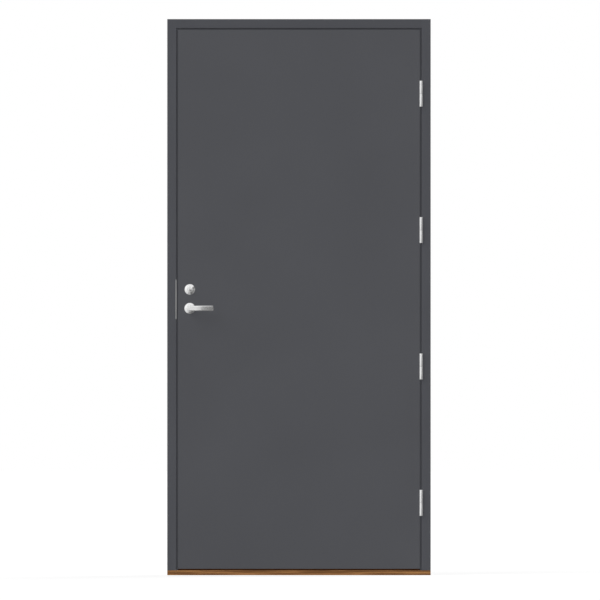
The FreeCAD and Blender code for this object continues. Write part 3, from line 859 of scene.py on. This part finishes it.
class DOOR_OT_make_roses(Operator):
    """Makes the round roses under the levers and the knob"""

    bl_idname = "storage_door.make_roses"
    bl_label = "Make the roses"

    def execute(self, context):
        neck = context.scene.door_lever.neck_radius + 0.3 * MM
        knob_neck = 5.2 * MM
        for name, node, y, z, bore in (
            ("outer_rose_cover", "outer_handle_rose", front_y, handle_z, neck),
            ("inner_rose_cover", "inner_handle_rose", back_y, handle_z, neck),
            ("knob_rose_cover", "turn_knob_rose", back_y, cylinder_z, knob_neck),
        ):
            cover = moved(rose_cover(bore), leaf_seat(y, z))
            fitted(cover, name, "leaf", nickel(), [node])
        return {"FINISHED"}


class LeverForm:
    """The lever's faces: straight over the neck, then bent towards the leaf in two arcs."""

    def __init__(self, settings):
        self.settings = settings
        self.reach = lever_high.x - lock_x
        self.half = (lever_high.z - lever_low.z) / 2
        self.proud = front_y - lever_low.y
        self.grip_run = self.reach - settings.straight - settings.bend_run
        front_drop = self.grip_run * math.tan((settings.bend_angle + settings.tip_angle) / 2)
        back_drop = front_drop - (settings.thickness - settings.tip_thickness)
        self.back_tip = 2 * math.atan(back_drop / self.grip_run) - settings.bend_angle

    @staticmethod
    def arc_drop(x, run, start, end):
        """How far an arc has fallen x along a run over which its angle goes from start to end."""
        rate = (math.sin(end) - math.sin(start)) / run
        angle = math.asin(math.sin(start) + rate * x)
        return (math.cos(start) - math.cos(angle)) / rate

    def drop(self, x, tip):
        """How far a face has dropped towards the leaf at x."""
        run = self.settings.bend_run
        bend = self.settings.bend_angle
        x -= self.settings.straight
        if x <= 0:
            return 0.0
        if x <= run:
            return self.arc_drop(x, run, 0, bend)
        return self.arc_drop(run, run, 0, bend) + self.arc_drop(x - run, self.grip_run, bend, tip)

    def front(self, x):
        return self.proud - self.drop(x, self.settings.tip_angle)

    def back(self, x):
        return self.proud - self.settings.thickness - self.drop(x, self.back_tip)

    def loop(self, inset):
        """The lever's outline seen from the front, drawn in by this much."""
        corner = self.settings.tip_rounding
        half = self.half - inset
        last = self.reach - corner
        bar_steps = 36
        upper = arc(0, 0, half, math.pi, math.pi / 2, 16)
        upper += [(last * step / bar_steps, half) for step in range(1, bar_steps)]
        upper += arc(last, self.half - corner, corner - inset, math.pi / 2, 0, 8)
        upper += [(self.reach - inset, y) for y in ((self.half - corner) / 2, 0)]
        return upper + [(x, -y) for x, y in reversed(upper[1:-1])]

    def rim(self, face, run, fall, side):
        """Loops from the side of the bar over a rounded edge onto a face."""
        loops = []
        for out, up in arc(0, 0, 1, 0, math.pi / 2, 7):
            sink = side * fall * (1 - up)
            loops.append([(x, y, face(x) - sink) for x, y in self.loop(run * (1 - out))])
        loops.append([(x, y, face(x)) for x, y in self.loop(run + 0.25 * MM)])
        return loops

    def bar(self):
        """The bent bar, made with +X along the grip and +Z away from the leaf."""
        back = self.rim(self.back, 1.6 * MM, 1.2 * MM, -1)
        front = self.rim(self.front, 3.2 * MM, 2.0 * MM, 1)
        return stacked(list(reversed(back)) + front, rungs=True)


def lever_piece(settings):
    """The bar on its round neck, which flares a little where it meets the bar."""
    form = LeverForm(settings)
    radius = settings.neck_radius
    top = form.proud - settings.thickness
    start = 1.5 * MM
    flare = 0.7 * MM
    hidden = 3 * MM
    profile = [(0, start), (radius, start), (radius, top - flare)]
    profile += [(radius + flare * 0.3, top - flare * 0.3), (radius + flare, top + 0.4 * MM)]
    profile += [(radius * 0.6, top + hidden), (0, top + hidden)]
    return carved(form.bar(), lathe(profile), "UNION")


class DOOR_OT_make_levers(Operator):
    """Makes the lever handles outside and inside"""

    bl_idname = "storage_door.make_levers"
    bl_label = "Make the levers"

    def execute(self, context):
        for node, y in (("outer_lever", front_y), ("inner_lever", back_y)):
            lever = moved(lever_piece(context.scene.door_lever), leaf_seat(y, handle_z))
            fitted(lever, f"{node}_bar", "levers", nickel(), [node], crease=40)
        return {"FINISHED"}


def cone_ring(bore):
    """The cone round the cylinder, with a low straight rim on the leaf."""
    radius = (ring_high.x - ring_low.x) / 2
    height = ring_high.y - ring_low.y
    front_radius = 10.3 * MM
    rim_height = 1.5 * MM
    profile = [(bore, 0, 0), (radius, 0, 0), (radius, rim_height, 0.6 * MM)]
    profile += [(front_radius, height, 1.2 * MM), (bore, height, 0.15 * MM)]
    return lathe(rounded(profile), 128)


def cylinder_nose(radius, plug_radius, proud, depth):
    """The cylinder's fixed part, with a fine groove round its plug."""
    bore = plug_radius + 0.08 * MM
    profile = [(bore, -depth, 0), (radius, -depth, 0)]
    profile += [(radius, proud - 2.2 * MM, 0.4 * MM), (bore, proud - 1.5 * MM, 0.1 * MM)]
    return lathe(rounded(profile))


ward_pitch = 2.1 * MM


def keyway_shade_wards(proud):
    """The wards and pins that close the keyway behind its mouth; their near-black colour is painted
    shade in the keyway.
    """
    half = 1.2 * MM
    start = -5.0 * MM
    ward_height = 2.0 * MM
    back = proud - 12 * MM
    blocks = []
    for step in range(4):
        low = start + ward_pitch * step
        high = low + ward_height
        front = proud - (2.2 + 0.5 * (step % 2)) * MM
        blocks.append(prism([(-half, low), (half, low), (half, high), (-half, high)], back, front))
    return gathered(blocks)


def key_plug(radius, proud, depth):
    """The plug, with a domed face and a keyway whose sides are ribbed."""
    dome = 1.3 * MM
    top = proud + 0.2 * MM
    nose_steps = 8
    profile = [(0, -depth), (radius, -depth), (radius, top - dome)]
    for step in range(nose_steps - 1, -1, -1):
        profile.append((radius * step / nose_steps, top - dome * (step / nose_steps) ** 1.2))
    half = 1.1 * MM
    rib = 0.45 * MM
    start = 3.4 * MM
    keyway_depth = 22 * MM
    ribs = [(start - ward_pitch * step, rib * (step % 2)) for step in range(5)]
    mouth = [(shift - half, y) for y, shift in ribs]
    mouth += [(half - (rib - shift), y) for y, shift in reversed(ribs)]
    return carved(lathe(profile), prism(mouth, top - keyway_depth, top + 2 * MM))


class DOOR_OT_make_cylinder(Operator):
    """Makes the tapered ring, the key cylinder and its plug"""

    bl_idname = "storage_door.make_cylinder"
    bl_label = "Make the key cylinder"

    def execute(self, context):
        # The cone's nickel is 5 % paler as a painted highlight, and the nose's and plug's 4 %
        # darker as painted shade.
        paler_cone_nickel = nickel("cone_nickel_painted_highlight", 1.05, 0.22)
        face = nickel("cylinder_nickel_painted_shade", 0.96, 0.24, (500, 500, 500))
        body_low, body_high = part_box("cylinder_body")
        plug_low, plug_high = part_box("cylinder_plug")
        radius = (body_high.x - body_low.x) / 2
        plug_radius = 6.5 * MM
        proud = front_y - body_low.y
        sunk = front_y - plug_low.y
        seat = leaf_seat(front_y, cylinder_z)
        ring = moved(cone_ring(radius + 0.1 * MM), seat)
        fitted(ring, "cylinder_cone_ring", "leaf", paler_cone_nickel, ["cylinder_ring"])
        nose = moved(cylinder_nose(radius, plug_radius, proud, body_high.y - front_y), seat)
        fitted(nose, "cylinder_nose", "leaf", face, ["cylinder_body"])
        plug = moved(key_plug(plug_radius, sunk, plug_high.y - front_y), seat)
        fitted(plug, "key_plug_face", "key_plug", face, ["cylinder_plug"])
        # The wards' near-black brass is painted shade in the keyway.
        wards = moved(keyway_shade_wards(sunk), seat)
        fitted(wards, "keyway_shade_wards", "key_plug", keyway_shade_brass())
        return {"FINISHED"}


def knob_grip(half_length, half_width, low, high):
    """An upright bar with round ends and a rounded top."""
    rounding = 2.2 * MM

    def loop(inset, height):
        end = arc(0, half_length - half_width, half_width - inset, math.pi, 0, 32)
        return [(x, y, height) for x, y in end] + [(-x, -y, height) for x, y in end]

    loops = [loop(0, low)]
    for out, up in arc(0, 0, 1, 0, math.pi / 2, 7):
        loops.append(loop(rounding * (1 - out), high - rounding * (1 - up)))
    loops.append(loop(rounding + 0.3 * MM, high))
    return stacked(loops)


class DOOR_OT_make_knob(Operator):
    """Makes the oval turn knob on the inside"""

    bl_idname = "storage_door.make_knob"
    bl_label = "Make the turn knob"

    def execute(self, context):
        low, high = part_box("turn_knob")
        rose_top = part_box("turn_knob_rose")[1].y - back_y
        foot = low.y - back_y
        base = rose_top + 0.3 * MM
        collar_top = base + 3 * MM
        stem = 5 * MM
        radius = (high.x - low.x) / 2
        half_width = 6 * MM
        sunk = 0.6 * MM
        profile = [(0, foot, 0), (stem, foot, 0), (stem, base, 0)]
        profile += [(radius, base, 0.4 * MM), (radius, collar_top, 0.9 * MM), (0, collar_top, 0)]
        grip = knob_grip((high.z - low.z) / 2, half_width, collar_top - sunk, high.y - back_y)
        knob = moved(carved(lathe(rounded(profile)), grip, "UNION"), leaf_seat(back_y, cylinder_z))
        fitted(knob, "turn_knob_grip", "leaf", nickel(), ["turn_knob"])
        return {"FINISHED"}


# The stage


def lamp(name, share, azimuth, elevation, softness):
    """A soft distant lamp, placed by where its light comes from, seen from the door, in degrees.

    Azimuth 0 is straight in front of the outer face, and it grows towards the left."""
    light = bpy.data.lights.new(name, "SUN")
    light.energy = share * math.pi
    light.angle = math.radians(softness)
    source = bpy.data.objects.new(name, light)
    bpy.context.scene.collection.objects.link(source)
    turn = math.radians(azimuth)
    rise = math.radians(elevation)
    level = math.cos(rise)
    towards = Vector((-math.sin(turn) * level, -math.cos(turn) * level, math.sin(rise)))
    source.rotation_euler = towards.to_track_quat("Z", "Y").to_euler()
    source.visible_glossy = False


def studio_world(settings):
    """White for the camera, even light for paint and wood, and a shaded room for metal to reflect.

    Each list gives the room's brightness from left to right, below and above its middle."""
    world = bpy.data.worlds.new("studio")
    bpy.context.scene.world = world
    world.use_nodes = True
    world.node_tree.nodes.clear()
    made = Nodes(world.node_tree)
    place = made.add("TexCoord").outputs["Generated"]
    axes = made.add("SeparateXYZ", {"Vector": place}).outputs
    lean = -0.5
    edge = 1.1
    across = made.add("Math", {0: axes["Z"], 1: lean, 2: axes["X"]}, operation="MULTIPLY_ADD")
    side = made.spread(across.outputs[0], -edge, edge, 0.0, 1.0).outputs["Result"]
    rise = made.spread(axes["Z"], -0.1, 0.05, 0.0, 1.0)
    rise.interpolation_type = "SMOOTHSTEP"
    lower = [(-1.1, 0.95), (-0.85, 0.84), (-0.45, 0.78), (0.0, 0.64), (0.12, 0.32), (0.27, 0.15)]
    lower += [(0.5, 0.18), (0.6, 0.13), (0.7, 0.04), (0.8, 0.05), (0.92, 0.12), (1.1, 0.22)]
    upper = [(-1.1, 1.0), (-0.85, 0.94), (-0.45, 0.86), (0.0, 0.88), (0.32, 0.89), (0.45, 0.51)]
    upper += [(0.55, 0.28), (0.66, 0.08), (0.78, 0.05), (0.92, 0.28), (1.0, 0.70), (1.1, 0.85)]
    halves = []
    for levels in (lower, upper):
        stops = [((place + edge) / (2 * edge), (level,) * 3 + (1,)) for place, level in levels]
        halves.append(made.ramp(side, stops))
    room = made.blended(rise.outputs["Result"], *halves)
    white = made.add("Background", {"Color": WHITE}).outputs[0]
    sky = made.add("Background", {"Color": WHITE, "Strength": settings.sky_light}).outputs[0]
    mirror = made.add("Background", {"Color": room, "Strength": 1.12}).outputs[0]
    direct, glossy = made.rays()
    shown = made.chosen(direct, made.chosen(glossy, sky, mirror), white)
    made.add("OutputWorld", {"Surface": shown})


def floor_material(settings):
    """A pale matt floor that the camera sees as white, darker where the door shades it.

    Metal reflects the studio's room in its place."""
    material = bpy.data.materials.new("pale_floor")
    material.use_nodes = True
    material.node_tree.nodes.clear()
    made = Nodes(material.node_tree)
    direct, glossy = made.rays()
    matt = made.add("BsdfDiffuse", {"Color": (settings.floor_shade,) * 3 + (1,)}).outputs[0]
    glow = made.add("Emission", {"Strength": settings.floor_glow}).outputs[0]
    unseen = made.add("BsdfTransparent", {"Color": (0, 0, 0, 1)}).outputs[0]
    clear = made.add("BsdfTransparent").outputs[0]
    extra = made.chosen(direct, unseen, glow)
    both = made.add("AddShader", {0: matt, 1: extra}).outputs[0]
    made.add("OutputMaterial", {"Surface": made.chosen(glossy, both, clear)})
    return material


class DOOR_OT_set_stage(Operator):
    """Sets the floor, the lamps and the camera"""

    bl_idname = "storage_door.set_stage"
    bl_label = "Set the stage"

    def execute(self, context):
        settings = context.scene.door_studio
        level = bmesh.new()
        bmesh.ops.create_grid(level, x_segments=2, y_segments=2, size=settings.floor_reach / 2)
        floor = as_object(level, "floor")
        floor.location.z = ground_z
        floor.data.materials.append(floor_material(settings))
        studio_world(settings)
        for side, turn in (("outer", 0), ("inner", 180)):
            lamp(f"{side}_front_lamp", settings.front_light, turn, elevation=0.12, softness=0.2)
            lamp(f"{side}_side_lamp", settings.side_light, turn + 48, elevation=36, softness=44)
        camera = bpy.data.cameras.new("camera")
        camera.sensor_width = 36.0
        camera.lens = camera.sensor_width * settings.camera_distance / settings.view_width
        camera.clip_end = 2000.0
        eye = bpy.data.objects.new("camera", camera)
        context.scene.collection.objects.link(eye)
        across, up = settings.view_centre
        eye.location = (across, front_y - settings.camera_distance, up)
        eye.rotation_euler = (math.pi / 2, 0, 0)
        context.scene.camera = eye
        context.scene.view_settings.view_transform = "Standard"
        return {"FINISHED"}


# The add-on

steps = (
    DOOR_OT_paint_frame, DOOR_OT_oil_threshold, DOOR_OT_fit_seals, DOOR_OT_paint_leaf,
    DOOR_OT_hang_hinges, DOOR_OT_fit_lock, DOOR_OT_fix_frame, DOOR_OT_make_roses,
    DOOR_OT_make_levers, DOOR_OT_make_cylinder, DOOR_OT_make_knob, DOOR_OT_set_stage,
)

settings_groups = {
    "door_paint": PaintSettings,
    "door_oak": OakSettings,
    "door_metals": MetalSettings,
    "door_lever": LeverSettings,
    "door_hinges": HingeSettings,
    "door_studio": StudioSettings,
}


class DOOR_PT_sidebar(Panel):
    """Lists the door's settings and the steps that make it"""

    bl_label = "Storage Door"
    bl_idname = "DOOR_PT_sidebar"
    bl_space_type = "VIEW_3D"
    bl_region_type = "UI"
    bl_category = "Door"

    def draw(self, context):
        layout = self.layout
        for attribute, group in settings_groups.items():
            box = layout.box()
            box.label(text=group.__doc__.rstrip("."))
            for name in group.__annotations__:
                box.prop(getattr(context.scene, attribute), name)
        for step in steps:
            layout.operator(step.bl_idname)


classes = (*settings_groups.values(), *steps, DOOR_PT_sidebar)


def register():
    for item in classes:
        bpy.utils.register_class(item)
    for attribute, group in settings_groups.items():
        setattr(bpy.types.Scene, attribute, PointerProperty(type=group))


def unregister():
    for attribute in settings_groups:
        delattr(bpy.types.Scene, attribute)
    for item in reversed(classes):
        bpy.utils.unregister_class(item)


def main():
    register()
    for step in steps:
        getattr(bpy.ops.storage_door, step.bl_idname.split(".")[1])()
    bpy.context.view_layer.update()


if __name__ == "__main__":
    main()
